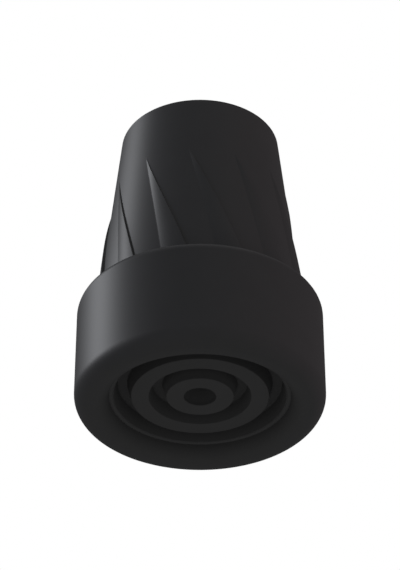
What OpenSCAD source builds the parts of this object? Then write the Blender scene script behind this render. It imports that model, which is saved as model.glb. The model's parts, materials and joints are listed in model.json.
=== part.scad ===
// Rubber tip for the foot of a walking cane, moulded in one piece.
// It stands upright: the ground is at z = 0 and the shaft comes in from above, along +Z.

/* [Shaft socket] */
// Diameter of the cane shaft that the socket grips
shaft_d = 19; // [12:0.5:25]
// Thickness of the solid rubber under the shaft, from the ground to the socket's floor
pad_h = 15; // [12:0.5:18]
// Size of the chamfer that leads the shaft into the mouth
lead_in = 1; // [0.2:0.1:2]

/* [Sleeve] */
// Height of the tapered sleeve above the foot
sleeve_h = 34.2; // [28:0.1:60]
// Wall of the sleeve at the mouth
mouth_wall = 3.9; // [3:0.1:7]
// How much wider the sleeve's wall is where it meets the foot
sleeve_flare = 3.4; // [1:0.1:6]
// Rounding of the mouth's outer edge
mouth_round = 0.15; // [0.05:0.05:0.8]

/* [Foot] */
// Height of the drum-shaped foot, from the ground to its flat top
foot_h = 18.9; // [14:0.1:30]
// Width of the flat ledge around the sleeve, to the drum's side
foot_ledge = 3.2; // [2.8:0.1:8]
// Rounding of the drum's top edge
foot_round = 1.5; // [0.3:0.1:2]

/* [Tread] */
// Width of the round bead that runs around the tread
bead_w = 5.5; // [3:0.1:7]
// Width of the flat band on which the bead stands
bead_flat = 1; // [0.4:0.1:1.6]
// Width of each raised ring
ring_w = 2.8; // [1.5:0.1:5]
// Width of each groove at its mouth
groove_w = 2.8; // [2:0.1:5]
// Depth of the grooves
groove_depth = 2.5; // [1:0.1:4]
// How far each groove wall leans in, from the mouth to the floor
groove_draft = 0.65; // [0:0.05:0.9]
// Diameter of the hole in the middle of the tread
centre_hole_d = 5.1; // [2:0.1:8]
// Depth of the hole in the middle of the tread
centre_hole_depth = 4.5; // [1:0.1:6]

/* [Swirl ribs] */
// Number of ribs around the sleeve
rib_count = 12; // [4:1:16]
// Length of a rib, from the foot's top up to its tip
rib_len = 22.95; // [10:0.05:26]
// Height of a rib's crest over the sleeve, at the foot
rib_rise = 0.62; // [0.3:0.01:0.8]
// Share of a rib's length, from its tip down, on which the crest rises evenly. Below it, it slows
tip_share = 0.15; // [0.05:0.05:1]
// Share of a rib's length, from its tip down, where the back first becomes level at the crest
full_share = 0.78; // [0.3:0.01:1]
// How far the rib's toe winds around the sleeve on its way down, in degrees
toe_turn = 16.6; // [14:0.1:20]
// How far the rib's crest winds around the sleeve on its way down, in degrees
crest_turn = 31.6; // [28:0.1:36]
// How early a rib winds: 0 is evenly from the tip to the foot, more is faster near the tip
rib_bow = 0.23; // [0:0.01:0.5]
// Angle of the first rib's tip around the sleeve
first_rib_angle = 22.4; // [0:0.1:30]

/* [Hidden] */
$fn = 96;

// Radii, from the shaft outwards
socket_r = shaft_d / 2;
mouth_r = socket_r + mouth_wall;
sleeve_foot_r = mouth_r + sleeve_flare;
foot_r = sleeve_foot_r + foot_ledge;

// Heights over the ground
total_h = foot_h + sleeve_h;
rib_tip_z = foot_h + rib_len;

// The bead is a round bar bent into a ring, with a narrow flat cut under it.
// The tread lies at the height of the bar's middle.
bead_r = bead_w / 2;
bead_ring_r = foot_r - bead_r;
tread_z = sqrt(pow(bead_r, 2) - pow(bead_flat / 2, 2));
tread_r = foot_r - bead_w;

// Rings and grooves follow each other from the centre hole outwards.
// As many grooves are cut as leave a rim inside the bead.
centre_hole_r = centre_hole_d / 2;
rim_min = 0.5;
ring_pitch = ring_w + groove_w;
groove_count = floor((tread_r - rim_min - centre_hole_r) / ring_pitch);

// The sleeve's skin is a stack of level rings. Above the tips a ring has the sleeve's own
// points only, and below them each rib adds its back, its crest and the foot of its step.
rib_pitch = 360 / rib_count;
// The rings are closer together near the tips, where a crest rises fastest.
rib_levels = 10;
level_bias = 1.4;
back_strips = 4;
gap_strips = 5;
round_steps = 3;
sleeve_root = 0.4;
plain_side = gap_strips;
ribbed_side = back_strips + 1 + gap_strips;

// A cut passes a face by this much.
past = 1;

rubber = [0.15, 0.15, 0.16];

// Radius of the plain sleeve at a height over the ground
function sleeve_r(z) = sleeve_foot_r - sleeve_flare * (z - foot_h) / sleeve_h;

// A point given by its radius, its angle and its height
function around(r, angle, z) = [r * cos(angle), r * sin(angle), z];

// The share of its turn that a rib has made at this share of the way down it
function turned(share) = share * (1 + rib_bow * (1 - share));

// The crest's height over the sleeve, at this share of the way down the rib
function crest_rise(share) =
    let (s = min(1, share))
    rib_rise * sqrt(s * min(1, s / tip_share));

// The rib's back across its width, from 0 at the toe to 1 at the crest. It is a straight ramp
// at the tip, and it grows fuller on the way down, until it is level at the crest.
function back_rise(t, share) =
    let (fullness = min(1, share / full_share))
    (1 + fullness) * t - fullness * t * t;

// The sleeve's points between two angles, without the last
function gap_points(r, from, to, z) =
    [for (i = [0 : gap_strips - 1]) around(r, from + (to - from) * i / gap_strips, z)];

function plain_ring(r, z) = [
    for (i = [0 : rib_count - 1])
        let (tip = first_rib_angle + i * rib_pitch)
        each gap_points(r, tip, tip + rib_pitch, z)
];

function rib_back(share, toe, crest, z) = [
    for (i = [0 : back_strips])
        let (
            t = i / back_strips,
            rise = crest_rise(share) * back_rise(t, share)
        )
        around(sleeve_r(z) + rise, toe + (crest - toe) * t, z)
];

// One level ring through all the ribs, at this share of the way down them
function ribbed_ring(share) =
    let (z = rib_tip_z - rib_len * share)
    [for (i = [0 : rib_count - 1])
        let (
            tip = first_rib_angle + i * rib_pitch,
            toe = tip + toe_turn * turned(share),
            crest = tip + crest_turn * turned(share)
        )
        each concat(
            rib_back(share, toe, crest, z),
            gap_points(sleeve_r(z), crest, toe + rib_pitch, z)
        )];

// The rounded edge of the mouth, from its top down to the sleeve's side
mouth_rings = [
    for (i = [0 : round_steps])
        let (
            angle = 90 * (1 - i / round_steps),
            z = total_h - mouth_round * (1 - sin(angle))
        )
        plain_ring(sleeve_r(z) - mouth_round * (1 - cos(angle)), z)
];
tip_ring = plain_ring(sleeve_r(rib_tip_z), rib_tip_z);
root_share = 1 + sleeve_root / rib_len;
rib_rings = [
    for (i = [1 : rib_levels + 1])
        ribbed_ring(min(pow(i / rib_levels, level_bias), root_share))
];

// The two triangles between an edge of one ring and an edge of the ring below
function wall(a, b, below_a, below_b) = [[a, b, below_b], [a, below_b, below_a]];

// The faces between two rings with the same number of points
function ring_wall(first, n) = [
    for (k = [0 : n - 1])
        let (next = (k + 1) % n)
        each wall(first + k, first + next, first + n + k, first + n + next)
];

// The faces between the ring of tips and the first ring that has ribs.
// A fan of triangles opens each rib from its tip, and the gaps run on beside it.
function tip_wall(tips, ribs) = [
    for (i = [0 : rib_count - 1])
        let (
            tip = tips + i * plain_side,
            toe = ribs + i * ribbed_side,
            step_foot = toe + back_strips + 1,
            next_tip = tips + (i + 1) % rib_count * plain_side,
            next_toe = ribs + (i + 1) % rib_count * ribbed_side
        )
        each concat(
            [for (k = [0 : back_strips]) [tip, toe + k + 1, toe + k]],
            [for (k = [0 : gap_strips - 1])
                let (last = k == gap_strips - 1)
                each wall(
                    tip + k,
                    last ? next_tip : tip + k + 1,
                    step_foot + k,
                    last ? next_toe : step_foot + k + 1
                )]
        )
];

// The corner that is taken off a square edge to round it, with the edge at the origin
module outer_corner_cut(r) {
    difference() {
        translate([-r, -r]) square(r + past);
        translate([-r, -r]) circle(r);
    }
}

// The drum, and the bead under its edge
module foot_blank() {
    rotate_extrude() {
        difference() {
            translate([0, tread_z]) square([foot_r, foot_h - tread_z]);
            translate([foot_r, foot_h]) outer_corner_cut(foot_round);
        }
        intersection() {
            translate([bead_ring_r, tread_z]) circle(bead_r);
            square([foot_r + past, tread_z + bead_r]);
        }
    }
}

// The tapered sleeve with its saw-tooth ribs: each has a swelling back, a sharp crest and a step
module ribbed_sleeve() {
    plain_n = rib_count * plain_side;
    ribbed_n = rib_count * ribbed_side;
    upper_rings = concat(mouth_rings, [tip_ring]);
    tips = (len(upper_rings) - 1) * plain_n;
    ribs = tips + plain_n;
    end = ribs + (len(rib_rings) - 1) * ribbed_n;
    polyhedron(
        points = concat(
            [for (ring = upper_rings) each ring],
            [for (ring = rib_rings) each ring]
        ),
        faces = concat(
            [[for (k = [0 : plain_n - 1]) plain_n - 1 - k]],
            [for (first = [0 : plain_n : tips - 1]) each ring_wall(first, plain_n)],
            tip_wall(tips, ribs),
            [for (first = [ribs : ribbed_n : end - 1]) each ring_wall(first, ribbed_n)],
            [[for (k = [0 : ribbed_n - 1]) end + k]]
        )
    );
}

// A ring-shaped cut whose walls lean towards each other on the way up
module groove(inner_r) {
    outer_r = inner_r + groove_w;
    slope = groove_draft / groove_depth;
    rotate_extrude() polygon([
        [inner_r - slope * past, tread_z - past],
        [outer_r + slope * past, tread_z - past],
        [outer_r - groove_draft, tread_z + groove_depth],
        [inner_r + groove_draft, tread_z + groove_depth]
    ]);
}

module tread_cuts() {
    translate([0, 0, tread_z - past]) cylinder(r = centre_hole_r, h = centre_hole_depth + past);
    for (i = [0 : groove_count - 1])
        groove(centre_hole_r + ring_w + i * ring_pitch);
}

module socket_cut() {
    translate([0, 0, pad_h]) cylinder(r = socket_r, h = total_h - pad_h + past);
    translate([0, 0, total_h - lead_in])
        cylinder(r1 = socket_r, r2 = socket_r + lead_in + past, h = lead_in + past);
}

module cane_tip() {
    color(rubber) difference() {
        union() {
            foot_blank();
            ribbed_sleeve();
        }
        tread_cuts();
        socket_cut();
    }
}

cane_tip();
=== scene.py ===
# %% [markdown]
# # A rubber cane tip
#
# This lesson dresses a moulded rubber tip for the foot of a walking cane. The real thing is one
# piece: a drum with a ringed tread stands on the ground, and a tapered sleeve with swirl ribs
# grips the shaft. The solid model already has the true sizes. Here it gets a fine skin with
# soft moulded edges, a rubber finish, a floor, lamps and a camera.

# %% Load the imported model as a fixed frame
import json
import math

import bpy
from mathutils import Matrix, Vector


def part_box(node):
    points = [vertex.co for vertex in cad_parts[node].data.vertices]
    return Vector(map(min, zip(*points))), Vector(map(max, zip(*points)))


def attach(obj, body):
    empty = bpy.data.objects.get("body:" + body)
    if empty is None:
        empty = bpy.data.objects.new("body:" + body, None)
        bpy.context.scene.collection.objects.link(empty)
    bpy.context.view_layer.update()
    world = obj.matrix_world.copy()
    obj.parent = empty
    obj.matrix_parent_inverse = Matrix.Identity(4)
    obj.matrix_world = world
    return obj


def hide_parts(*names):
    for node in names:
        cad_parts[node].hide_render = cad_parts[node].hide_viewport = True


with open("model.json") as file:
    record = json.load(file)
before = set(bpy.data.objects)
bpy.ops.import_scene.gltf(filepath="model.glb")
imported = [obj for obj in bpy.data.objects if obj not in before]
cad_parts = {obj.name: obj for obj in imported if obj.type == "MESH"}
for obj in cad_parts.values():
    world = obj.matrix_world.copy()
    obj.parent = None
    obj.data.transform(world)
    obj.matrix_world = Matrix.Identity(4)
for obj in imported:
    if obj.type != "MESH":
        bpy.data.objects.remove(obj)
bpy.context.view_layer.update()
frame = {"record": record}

# %% [markdown]
# ## Sizes
#
# Every size is in metres. The overall ones come from the frame: the box of the CAD node gives
# the drum's radius and the height, and the record's socket mount gives the bore. The others are
# the moulder's own dimensions, and each is written once. The rib numbers are angles, because a
# rib winds around the sleeve by so many degrees on its way down, whatever the sleeve's height.

# %% Read the main sizes from the frame
MM = 0.001

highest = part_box("cane_tip")[1]
foot_r = highest.x
total_h = highest.z
mounts = {mount["name"]: mount for mount in frame["record"]["mounts"]}
socket_r = mounts["shaft_socket"]["dims"]["r_mm"] * MM
print("drum radius %.2f mm, height %.2f mm, socket radius %.2f mm"
      % (foot_r / MM, total_h / MM, socket_r / MM))

# %% Name the moulder's other sizes
pad_h = 15 * MM
lead_in = 1 * MM

foot_h = 18.9 * MM
foot_round = 1.5 * MM
foot_ledge = 3.2 * MM
mouth_wall = 3.9 * MM
mouth_round = 0.15 * MM

bead_w = 5.5 * MM
bead_flat = 1 * MM
ring_w = 2.8 * MM
groove_w = 2.8 * MM
groove_depth = 2.5 * MM
groove_draft = 0.65 * MM
groove_count = 2
centre_hole_r = 2.55 * MM
centre_hole_depth = 4.5 * MM

rib_count = 12
rib_len = 22.95 * MM
rib_rise = 0.62 * MM
toe_turn = 16.6         # degrees that a rib's toe winds on its way down
crest_turn = 31.6       # degrees that its crest winds
rib_bow = 0.23          # how much faster than the mean it winds at first
tip_share = 0.15        # share of its length over which its crest rises evenly
full_share = 0.78       # share of its length over which its back fills out
first_rib_angle = 22.4

mouth_r = socket_r + mouth_wall
sleeve_foot_r = foot_r - foot_ledge
sleeve_slope = (sleeve_foot_r - mouth_r) / (total_h - foot_h)
bead_r = bead_w / 2
tread_z = math.sqrt(bead_r ** 2 - (bead_flat / 2) ** 2)
tread_r = foot_r - bead_w
rib_tip_z = foot_h + rib_len
rib_pitch = 360 / rib_count
print("tread %.2f mm over the ground, rib tips at %.1f mm" % (tread_z / MM, rib_tip_z / MM))

# %% [markdown]
# ## One skin, wound from rings
#
# A moulded piece has no seams, so its skin is one closed mesh. It is built as a stack of rings
# that all have the same number of points, and quads join each ring to the next. The stack
# starts in the middle of the socket's floor, climbs the bore, turns over the mouth, comes down
# the ribbed sleeve and the drum, and ends in the middle of the tread. A lathe could make the
# round parts, but not the ribs, and two meshes would leave a seam where they meet.
#
# The first tool is a section line with soft corners. Rubber leaves the mould with every edge a
# little round, and a black part shows its edges only by the light that those roundings catch.

# %% A section line: corners with a radius, and points set close beside each bend
guard = 0.05 * MM
run_spacing = 1.6 * MM
arc_spacing = 0.18 * MM
arc_steps = 5


def corner_arc(before, corner, after, radius, steps):
    """The points of an arc that rounds a corner between two straight runs of a section."""
    to_before = (before - corner).normalized()
    to_after = (after - corner).normalized()
    half = to_before.angle(to_after) / 2
    middle = (to_before + to_after).normalized()
    centre = corner + middle * (radius / math.sin(half))
    start = corner + to_before * (radius / math.tan(half)) - centre
    end = corner + to_after * (radius / math.tan(half)) - centre
    sweep = start.angle(end)
    points = []
    for i in range(steps + 1):
        t = i / steps
        arm = start * math.sin((1 - t) * sweep) + end * math.sin(t * sweep)
        points.append(centre + arm / math.sin(sweep))
    return points


def run_points(start, end):
    """Points along a straight run, with one guard point just inside each end."""
    length = (end - start).length
    if length < 3 * guard:
        return []
    inner = max(1, round(length / run_spacing))
    shares = [guard / length] + [i / inner for i in range(1, inner)] + [1 - guard / length]
    return [start.lerp(end, share) for share in shares]


def section_line(corners):
    """A section through (radius, height, rounding) corners. The first and last stay sharp."""
    flat = [Vector((r, z, 0)) for r, z, rounding in corners]
    bends = [[flat[0]]]
    for i in range(1, len(corners) - 1):
        rounding = corners[i][2]
        steps = max(arc_steps, round(rounding / arc_spacing))
        bends.append(corner_arc(flat[i - 1], flat[i], flat[i + 1], rounding, steps))
    bends.append([flat[-1]])
    line = list(bends[0])
    for before, after in zip(bends, bends[1:]):
        line += run_points(before[-1], after[0])
        line += after
    return [(p.x, p.y) for p in line]


print("every rounding takes %d steps or more" % arc_steps)

# %% [markdown]
# ## The socket and the mouth
#
# The shaft goes into a plain blind bore with a small lead-in at the mouth. The mouth is a flat
# ring with a soft outer edge. All of it is round, so one section line describes it.

# %% Section of the socket and the mouth
soft_edge = 0.15 * MM
floor_fillet = 0.8 * MM
axis_gap = 0.02 * MM

socket_line = section_line([
    (axis_gap, pad_h, 0),
    (socket_r, pad_h, floor_fillet),
    (socket_r, total_h - lead_in, soft_edge),
    (socket_r + lead_in, total_h, soft_edge),
    (mouth_r, total_h, mouth_round),
    (mouth_r + mouth_round * sleeve_slope, total_h - 2 * mouth_round, 0),
])
print("socket and mouth:", len(socket_line), "rings")

# %% [markdown]
# ## The swirl ribs
#
# Each rib is a saw tooth. Its back swells out of the sleeve from the toe, levels off towards the
# crest, and drops back in one step. Going down the sleeve the toe winds slowly, the crest winds
# faster, and so the rib opens like a blade. The mesh follows the rib: its columns run along the
# toe, the crest and the foot of the step, so that each of them stays a clean line. A grid that
# ran straight down would cut the ribs into a staircase.

# %% The shape of one rib
back_shares = [0, 0.03, 0.12, 0.25, 0.4, 0.55, 0.7, 0.85, 0.97, 1]
gap_shares = [0.02, 0.1, 0.22, 0.36, 0.5, 0.64, 0.78, 0.9, 0.98]
crest_radius = 0.04 * MM
step_fillet = 0.04 * MM
edge_share = 0.35
tip_width = 0.15 * MM
edge_angles = [60, 30, 0]


def sleeve_r(z):
    """The radius of the plain sleeve at a height."""
    return sleeve_foot_r - sleeve_slope * (z - foot_h)


def crest_rise(share):
    """The crest's height over the sleeve, at this share of the way down the rib."""
    return rib_rise * math.sqrt(share * min(1, share / tip_share))


def turned(share):
    """How much of its whole turn a rib has wound, at this share of the way down it."""
    return share * (1 + rib_bow * (1 - share))


def back_rise(t, share):
    """The rib's back from 0 at the toe to 1 at the crest: a ramp at the tip, full lower down."""
    fullness = min(1, share / full_share)
    return (1 + fullness) * t - fullness * t * t


def rib_profile(width, rise, share):
    """(distance, height) points across one rib: the back, the crest, the step and its fillet."""
    round_over = min(crest_radius, edge_share * rise)
    fillet = min(step_fillet, edge_share * rise)
    back = width - round_over
    points = [(back * t, rise * back_rise(t, share)) for t in back_shares]
    for angle in map(math.radians, edge_angles):
        points.append((back + round_over * math.cos(angle),
                       rise - round_over * (1 - math.sin(angle))))
    points.append((width, fillet + 0.5 * (rise - round_over - fillet)))
    for angle in map(math.radians, reversed(edge_angles)):
        points.append((width + fillet * (1 - math.cos(angle)),
                       fillet * (1 - math.sin(angle))))
    points.append((width + fillet, 0))
    return points


rib_columns = len(rib_profile(1 * MM, 1 * MM, 1))
pitch_columns = rib_columns + len(gap_shares)
ring_points = rib_count * pitch_columns
print("a rib takes %d columns, and a ring has %d points" % (rib_columns, ring_points))

# %% [markdown]
# ## Rings
#
# A ring is a list of points at one step of the stack. On the round parts the columns are spread
# evenly. On the ribs they crowd to the edges, and between the two a blend moves them along the
# surface, which leaves its shape alone because it is round there.

# %% Build the rings


def around(radius, degrees, z):
    """A point given by its radius, its angle and its height."""
    angle = math.radians(degrees)
    return (radius * math.cos(angle), radius * math.sin(angle), z)


def even_columns(start):
    """The angles of one pitch's columns, spread evenly from a start angle."""
    return [start + rib_pitch * k / pitch_columns for k in range(pitch_columns)]


def ribbed_columns(share):
    """(angle, height) of one pitch's columns, at this share of the way down the ribs."""
    z = rib_tip_z - rib_len * share
    degrees = math.degrees(1 / sleeve_r(z))
    toe = toe_turn * turned(share)
    opening = (crest_turn - toe_turn) * turned(share) / degrees
    width = math.hypot(opening, tip_width * (1 - share))
    profile = [(toe + x * degrees, h) for x, h in rib_profile(width, crest_rise(share), share)]
    gap_start = profile[-1][0]
    gap_end = toe + rib_pitch
    gap = [(gap_start + (gap_end - gap_start) * t, 0) for t in gap_shares]
    return profile + gap


def full_ring(pitch, z):
    """A whole ring from one pitch of (radius, angle) columns, repeated for every rib."""
    points = []
    for i in range(rib_count):
        start = first_rib_angle + i * rib_pitch
        points += [around(r, start + angle, z) for r, angle in pitch]
    return points


def round_ring(radius, z, angles):
    """A whole ring of one radius."""
    return full_ring([(radius, angle) for angle in angles], z)


def mixed(a, b, t):
    """A list between two lists: the first one at 0, the second one at 1."""
    return [x + (y - x) * t for x, y in zip(a, b)]


print("the columns are %.2f degrees apart where they are even" % (rib_pitch / pitch_columns))

# %% [markdown]
# The sleeve has two stretches, plain above the tips and ribbed below them. A rib starts with no
# height at all, so the rings are set closer together near its tip. On the plain stretch the
# columns move over from even spacing to the rib's, and stop just short of it, because there
# two columns of the rib's step would lie on top of each other.

# %% The sleeve's rings, from the mouth down
plain_levels = 16
plain_blend = 0.98
rib_levels = 44
rib_start = 0.004
tip_crowding = 1.3

tip_angles = [angle for angle, h in ribbed_columns(rib_start)]
half_rib = rib_pitch * rib_columns / pitch_columns / 2
mouth_angles = even_columns(-half_rib)
plain_top = socket_line[-1][1]

sleeve_rings = []
for i in range(1, plain_levels + 1):
    share = i / plain_levels
    z = plain_top + (rib_tip_z - plain_top) * share
    columns = mixed(mouth_angles, tip_angles, plain_blend * share)
    sleeve_rings.append(round_ring(sleeve_r(z), z, columns))

for i in range(rib_levels + 1):
    share = rib_start + (1 - rib_start) * (i / rib_levels) ** tip_crowding
    z = rib_tip_z - rib_len * share
    pitch = [(sleeve_r(z) + h, angle) for angle, h in ribbed_columns(share)]
    sleeve_rings.append(full_ring(pitch, z))
print("sleeve:", len(sleeve_rings), "rings")

# %% [markdown]
# The ribs stand on the drum's flat ledge. Its rings start on the ribs' outline and open out to
# a circle, and on the way the columns go back to even spacing. A ledge cut into the drum would
# need a boolean, and that would break the columns.

# %% The ledge: from the ribs' outline out to the start of the drum's rounded edge
ledge_steps = 6
ledge_start = 0.02
ledge_stop = 0.96
ledge_end_r = foot_r - foot_round
foot_angles = even_columns(toe_turn)

foot_outline = [(sleeve_foot_r + h, angle) for angle, h in ribbed_columns(1)]
ledge_rings = []
for i in range(ledge_steps):
    share = max(ledge_start, ledge_stop * i / (ledge_steps - 1))
    pitch = [(r + (ledge_end_r - r) * share, angle + (even - angle) * share)
             for (r, angle), even in zip(foot_outline, foot_angles)]
    ledge_rings.append(full_ring(pitch, foot_h))
print("ledge:", len(ledge_rings), "rings")

# %% [markdown]
# ## The drum and the tread
#
# The drum's side runs down into a round bead. Inside the bead lies the tread, a flat disc with
# a hole in the middle and two ring-shaped grooves whose walls lean in, so that the mould can
# let go of them. Grooves and rings follow each other from the hole outwards.
#
# The bead's section is two quarter arcs. The inner one is a hair smaller, so that they don't
# share a ring. Their lowest point lies a little under the ground, and what would be below it is
# raised to it. That leaves the narrow flat band that the tip stands on.

# %% Section of the drum, the bead and the tread
groove_edge = 0.12 * MM
groove_fillet = 0.2 * MM
bead_low = tread_z - bead_r
bead_inner_r = 0.999 * bead_r

outer_corners = [
    (ledge_end_r - guard, foot_h, 0),
    (foot_r, foot_h, foot_round),
    (foot_r, bead_low, bead_r),
    (tread_r, bead_low, bead_inner_r),
    (tread_r, tread_z, 0),
]

tread_corners = [(tread_r, tread_z, 0)]
for i in reversed(range(groove_count)):
    inner = centre_hole_r + ring_w + i * (ring_w + groove_w)
    outer = inner + groove_w
    tread_corners += [
        (outer, tread_z, groove_edge),
        (outer - groove_draft, tread_z + groove_depth, groove_fillet),
        (inner + groove_draft, tread_z + groove_depth, groove_fillet),
        (inner, tread_z, groove_edge),
    ]
tread_corners += [
    (centre_hole_r, tread_z, groove_edge),
    (centre_hole_r, tread_z + centre_hole_depth, groove_fillet),
    (axis_gap, tread_z + centre_hole_depth, 0),
]

drum_line = section_line(outer_corners)
tread_line = section_line(tread_corners)
foot_line = [(r, max(z, 0)) for r, z in drum_line + tread_line[1:]]
print("drum and tread:", len(foot_line), "rings")

# %% [markdown]
# ## One closed mesh
#
# All rings have the same number of points, so one loop can join each to the next. A quad goes
# down, along and up again, which turns its face outwards. The first ring and the last one lie
# so close to the axis that one flat face closes each. Smooth shading then spreads the light
# over the faces, and the guard points beside each bend keep it from smearing over flat parts.

# %% Join all the rings
rings = [round_ring(r, z, mouth_angles) for r, z in socket_line]
rings += sleeve_rings + ledge_rings
rings += [round_ring(r, z, foot_angles) for r, z in foot_line]

points = [point for ring in rings for point in ring]
faces = []
for level in range(len(rings) - 1):
    top = level * ring_points
    below = top + ring_points
    for k in range(ring_points):
        after = (k + 1) % ring_points
        faces.append((top + k, below + k, below + after, top + after))
faces.append(list(range(ring_points)))
faces.append([len(points) - 1 - k for k in range(ring_points)])

skin = bpy.data.meshes.new("moulded_tip")
skin.from_pydata(points, [], faces)
skin.validate()
skin.shade_smooth()
tip = bpy.data.objects.new("moulded_tip", skin)
bpy.context.scene.collection.objects.link(tip)
print("moulded tip:", len(skin.vertices), "points,", len(skin.polygons), "faces")

# %% [markdown]
# ## Black rubber
#
# Moulded rubber is close to black and matt. The outside of the mould is polished, so there the
# rubber comes out with a thin satin film that takes a soft highlight. The cores that shape the
# tread and the socket are left rough, and what they shaped has no film. On the tread the rubber
# is a little greyer. Painted light makes it lighter still where shade falls: most deep in the
# centre hole, less in the grooves and on the narrow lip beside the bead.
#
# All of that depends on two numbers, a point's distance from the axis and its height, so the
# material works them out and needs no painted mask. The film is the shader's coat: it is laid on
# by weight, and its roughness is the same everywhere. The rubber under it has no gloss of its
# own. Faint clouds in the colour and a grain too fine to see take the plastic look away.

# %% The rubber's colours and finish
skin_rubber = (0.0166, 0.0166, 0.0169, 1)
core_rubber = (0.0202, 0.0202, 0.0203, 1)
# painted light: a lighter colour for the tread's recesses, in place of the light that their
# shade takes away
painted_light_rubber = (0.0650, 0.0650, 0.0652, 1)
matt_roughness = 0.9
film_gloss = 0.05
film_roughness = 0.51
rubber_gloss = 0
cloud_size = 4 * MM
cloud_depth = 0.06
grain_size = 0.12 * MM
grain_depth = 0.004 * MM
print("satin film with a weight of %.2f over matt rubber" % film_gloss)

# %% Where the finishes and the painted light change
film_start_r = tread_r + 1.2 * MM
film_fade = 1.2 * MM
film_mouth_r = socket_r + lead_in
hole_floor_z = tread_z + centre_hole_depth
socket_side_z = hole_floor_z + 1 * MM
# painted light: where it starts in the tread, how much of it the grooves and the lip get, and
# how fast it blends
painted_light_z = tread_z + 0.3 * MM
hole_edge_r = centre_hole_r + groove_edge
groove_painted_light = 0.18
lip_w = 0.6 * MM
lip_painted_light = 0.14
painted_light_blend = 0.1 * MM
print("the film starts %.1f mm from the axis, and fades in over %.1f mm"
      % (film_start_r / MM, film_fade / MM))


# %% Tools for the material's nodes
def add_node(tree, kind, **settings):
    """A node with its inputs, or its own settings, given by name."""
    node = tree.nodes.new(kind)
    for name, value in settings.items():
        if name in node.inputs:
            node.inputs[name].default_value = value
        else:
            setattr(node, name, value)
    return node


def add_math(tree, operation, first, second):
    """The result of one sum on two linked values."""
    node = add_node(tree, "ShaderNodeMath", operation=operation)
    tree.links.new(first, node.inputs[0])
    tree.links.new(second, node.inputs[1])
    return node.outputs["Value"]


def add_ramp(tree, value, start, end, low, high):
    """A value that goes from low to high as another goes from start to end, and then stays."""
    limits = {"From Min": start, "From Max": end, "To Min": low, "To Max": high}
    ramp = add_node(tree, "ShaderNodeMapRange", **limits)
    tree.links.new(value, ramp.inputs["Value"])
    return ramp.outputs["Result"]


def add_mix(tree, factor, first, second):
    """A colour between two: each is a colour, or a link to one."""
    mix = add_node(tree, "ShaderNodeMix", data_type="RGBA")
    tree.links.new(factor, mix.inputs["Factor"])
    for side, colour in [("A", first), ("B", second)]:
        if isinstance(colour, tuple):
            mix.inputs[side].default_value = colour
        else:
            tree.links.new(colour, mix.inputs[side])
    return mix.outputs["Result"]


print("tools for nodes, sums, ramps and mixes are ready")


# %% Distance from the axis, and what follows from it
def radius_and_height(tree, place):
    """A point's distance from the tip's axis, and its height."""
    split = add_node(tree, "ShaderNodeSeparateXYZ")
    flat = add_node(tree, "ShaderNodeVectorMath", operation="MULTIPLY")
    flat.inputs[1].default_value = (1, 1, 0)
    length = add_node(tree, "ShaderNodeVectorMath", operation="LENGTH")
    tree.links.new(place, split.inputs[0])
    tree.links.new(place, flat.inputs[0])
    tree.links.new(flat.outputs["Vector"], length.inputs[0])
    return length.outputs["Value"], split.outputs["Z"]


def outside_share(tree, radius, height, tread_side_r, socket_side_r):
    """0 within a radius, and 1 a little outside it. The tread's side has its own radius."""
    edge = add_ramp(tree, height, hole_floor_z, socket_side_z, tread_side_r, socket_side_r)
    beyond = add_math(tree, "SUBTRACT", radius, edge)
    return add_ramp(tree, beyond, 0, film_fade, 0, 1)


def painted_light_share(tree, radius, height):
    """How much painted light a place gets: deep in the tread, and on the lip beside the bead."""
    deep = add_ramp(tree, height, painted_light_z, hole_floor_z, 0, 1)
    sheltered = add_ramp(tree, radius, hole_edge_r, hole_edge_r + painted_light_blend, 1, groove_painted_light)
    lip_in = add_ramp(tree, radius, tread_r - lip_w, tread_r - lip_w + painted_light_blend, 0, lip_painted_light)
    lip_out = add_ramp(tree, radius, tread_r - painted_light_blend, tread_r, lip_painted_light, 0)
    lip = add_math(tree, "MINIMUM", lip_in, lip_out)
    return add_math(tree, "MAXIMUM", add_math(tree, "MULTIPLY", deep, sheltered), lip)


# painted light: the recesses' lighter colour grows over this height
print("the painted_light grows from %.1f mm to %.1f mm over the ground"
      % (painted_light_z / MM, hole_floor_z / MM))

# %% Black rubber: the colour from its place with painted light in the recesses, faint clouds, the film and the grain
rubber = bpy.data.materials.new("black_rubber")
rubber.use_nodes = True
tree = rubber.node_tree
shader = tree.nodes["Principled BSDF"]
shader.inputs["Roughness"].default_value = matt_roughness
shader.inputs["Specular IOR Level"].default_value = rubber_gloss
shader.inputs["Coat Roughness"].default_value = film_roughness

place = add_node(tree, "ShaderNodeTexCoord").outputs["Object"]
radius, height = radius_and_height(tree, place)
# painted light: the tread's colour is lighter in its recesses and on the lip, in place of the
# light that their shade takes away
core_colour = add_mix(tree, painted_light_share(tree, radius, height), core_rubber, painted_light_rubber)
outside = outside_share(tree, radius, height, film_start_r, 0)
colour = add_mix(tree, outside, core_colour, skin_rubber)

clouds = add_node(tree, "ShaderNodeTexNoise", Scale=1 / cloud_size, Detail=4, Roughness=0.6)
cloudy = add_node(tree, "ShaderNodeVectorMath", operation="SCALE")
tree.links.new(place, clouds.inputs["Vector"])
tree.links.new(colour, cloudy.inputs[0])
tree.links.new(add_ramp(tree, clouds.outputs["Fac"], 0, 1, 1 - cloud_depth, 1 + cloud_depth),
               cloudy.inputs["Scale"])
tree.links.new(cloudy.outputs["Vector"], shader.inputs["Base Color"])

polished = outside_share(tree, radius, height, film_start_r, film_mouth_r)
tree.links.new(add_ramp(tree, polished, 0, 1, 0, film_gloss), shader.inputs["Coat Weight"])

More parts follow.
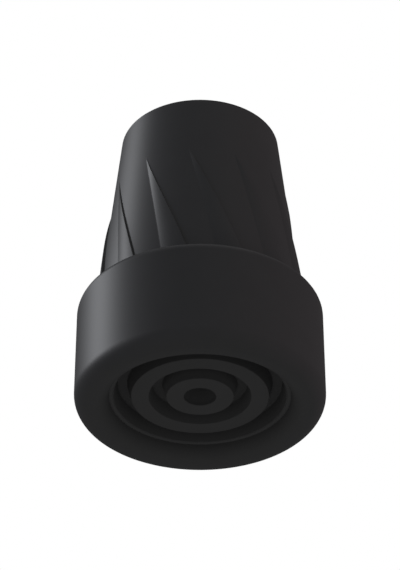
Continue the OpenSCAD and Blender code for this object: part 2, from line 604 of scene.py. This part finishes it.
grain = add_node(tree, "ShaderNodeTexNoise", Scale=1 / grain_size, Detail=2, Roughness=0.5)
bump = add_node(tree, "ShaderNodeBump", Strength=0.5, Distance=grain_depth)
tree.links.new(place, grain.inputs["Vector"])
tree.links.new(grain.outputs["Fac"], bump.inputs["Height"])
tree.links.new(bump.outputs["Normal"], shader.inputs["Normal"])
skin.materials.append(rubber)
print("black rubber:", len(tree.nodes), "nodes")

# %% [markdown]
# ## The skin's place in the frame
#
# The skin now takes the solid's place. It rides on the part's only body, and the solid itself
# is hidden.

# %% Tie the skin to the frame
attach(tip, "root")
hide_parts("cane_tip")
print("the skin stands in for the node cane_tip")

# %% [markdown]
# ## Floor and world
#
# The tip is black, so even light shows its form best: the world is plain white on every side.
# The floor is a pale sheet that takes the tip's soft shadow, and it is seen from above only.
# From below it is open, so that the camera can look up at the tread, and light from below
# comes through.

# %% Floor: a one-sided pale sheet
floor_half = 6.0
floor_gap = 0.02 * MM
floor_colour = (0.80, 0.80, 0.80, 1)

floor_mesh = bpy.data.meshes.new("floor")
floor_mesh.from_pydata(
    [(-floor_half, -floor_half, 0), (floor_half, -floor_half, 0),
     (floor_half, floor_half, 0), (-floor_half, floor_half, 0)], [], [(0, 1, 2, 3)])
floor = bpy.data.objects.new("floor", floor_mesh)
bpy.context.scene.collection.objects.link(floor)

pale = bpy.data.materials.new("pale_floor")
pale.use_nodes = True
pale_tree = pale.node_tree
sheet = pale_tree.nodes["Principled BSDF"]
sheet.inputs["Base Color"].default_value = floor_colour
sheet.inputs["Roughness"].default_value = matt_roughness
side = add_node(pale_tree, "ShaderNodeNewGeometry")
clear = add_node(pale_tree, "ShaderNodeBsdfTransparent")
choose = add_node(pale_tree, "ShaderNodeMixShader")
surface = pale_tree.nodes["Material Output"].inputs["Surface"]
pale_tree.links.new(side.outputs["Backfacing"], choose.inputs[0])
pale_tree.links.new(sheet.outputs[0], choose.inputs[1])
pale_tree.links.new(clear.outputs[0], choose.inputs[2])
pale_tree.links.new(choose.outputs[0], surface)
floor_mesh.materials.append(pale)

# The tip gets its light as if the floor weren't there, and stands a hair above it
floor.visible_diffuse = False
floor.visible_glossy = False
floor.visible_transmission = False
floor.visible_shadow = False
floor.location.z = -floor_gap
print("floor: %.0f m wide" % (2 * floor_half))

# %% World: plain white on every side
world = bpy.data.worlds.new("studio")
bpy.context.scene.world = world
world.use_nodes = True
backdrop = world.node_tree.nodes["Background"]
backdrop.inputs["Color"].default_value = (1, 1, 1, 1)
backdrop.inputs["Strength"].default_value = 1
print("world: white, strength", backdrop.inputs["Strength"].default_value)

# %% [markdown]
# ## Lamps
#
# Even light alone would leave the rubber flat, so two lamps act on the satin film and on nothing
# else. A tall strip, high on the left and a little behind, lays a long highlight down the side,
# and a panel straight above draws a thin line along the drum's edge. Two weak lamps tint the
# matt rubber, cool from the left and warm from the right. All four light the tip only, so that
# the floor stays even and neutral.

# %% A lamp that faces the tip
near = 1.2
far = 3.0
middle = Vector((0, 0, total_h / 2))

lit = bpy.data.collections.new("lit_by_lamps")
lit.objects.link(tip)


def add_lamp(name, toward, distance, size, watts, tint):
    """A lamp of this width and height that lies in a direction from the tip, and faces it."""
    light = bpy.data.lights.new(name, "AREA")
    light.shape = "RECTANGLE"
    light.size, light.size_y = size
    light.energy = watts
    light.color = tint
    lamp = bpy.data.objects.new(name, light)
    lamp.location = middle + Vector(toward).normalized() * distance
    lamp.rotation_euler = (middle - lamp.location).to_track_quat("-Z", "Y").to_euler()
    lamp.light_linking.receiver_collection = lit
    bpy.context.scene.collection.objects.link(lamp)
    print("%s: %g W, %g m away" % (name, watts, distance))
    return lamp


# %% Two lamps for the film
sheen_left = math.radians(102.7)
sheen_up = math.radians(31.7)
sheen_toward = (-math.sin(sheen_left) * math.cos(sheen_up),
                -math.cos(sheen_left) * math.cos(sheen_up), math.sin(sheen_up))

sheen = add_lamp("sheen_strip", toward=sheen_toward, distance=near,
                 size=(0.25, 0.54), watts=104, tint=(0.94, 0.96, 1))
glow = add_lamp("edge_glow", toward=(0, 0, 1), distance=near,
                size=(1, 1), watts=12, tint=(1, 1, 1))
for lamp in [sheen, glow]:
    lamp.visible_diffuse = False
    lamp.data.use_shadow = False

# %% Two lamps that tint the matt rubber
cool = add_lamp("cool_left", toward=(-1, -0.5, 0.3), distance=far,
                size=(1.25, 1.25), watts=10, tint=(0.1, 0.2, 1))
warm = add_lamp("warm_right", toward=(1, 0, 0.2), distance=far,
                size=(1.25, 1.25), watts=40, tint=(1, 0.62, 0.74))
for lamp in [cool, warm]:
    lamp.visible_glossy = False

# %% [markdown]
# ## Camera
#
# The camera looks up at the tread from well below the ground, with a long lens, so that the
# drum and the tread both show. The sleeve runs away from it and narrows.

# %% Camera
look_up = 35.497
camera_distance = 0.35858
aim_height = 24.55 * MM
lens = 137.64

aim = Vector((0, 0, aim_height))
angle = math.radians(look_up)
camera_data = bpy.data.cameras.new("camera")
camera_data.lens = lens
camera_data.sensor_width = 36
camera_data.clip_start = 0.01
camera = bpy.data.objects.new("camera", camera_data)
camera.location = aim - Vector((0, math.cos(angle), math.sin(angle))) * camera_distance
camera.rotation_euler = (aim - camera.location).to_track_quat("-Z", "Y").to_euler()
bpy.context.scene.collection.objects.link(camera)
bpy.context.scene.camera = camera
bpy.context.scene.view_settings.view_transform = "Standard"
print("camera at", [round(v, 4) for v in camera.location])
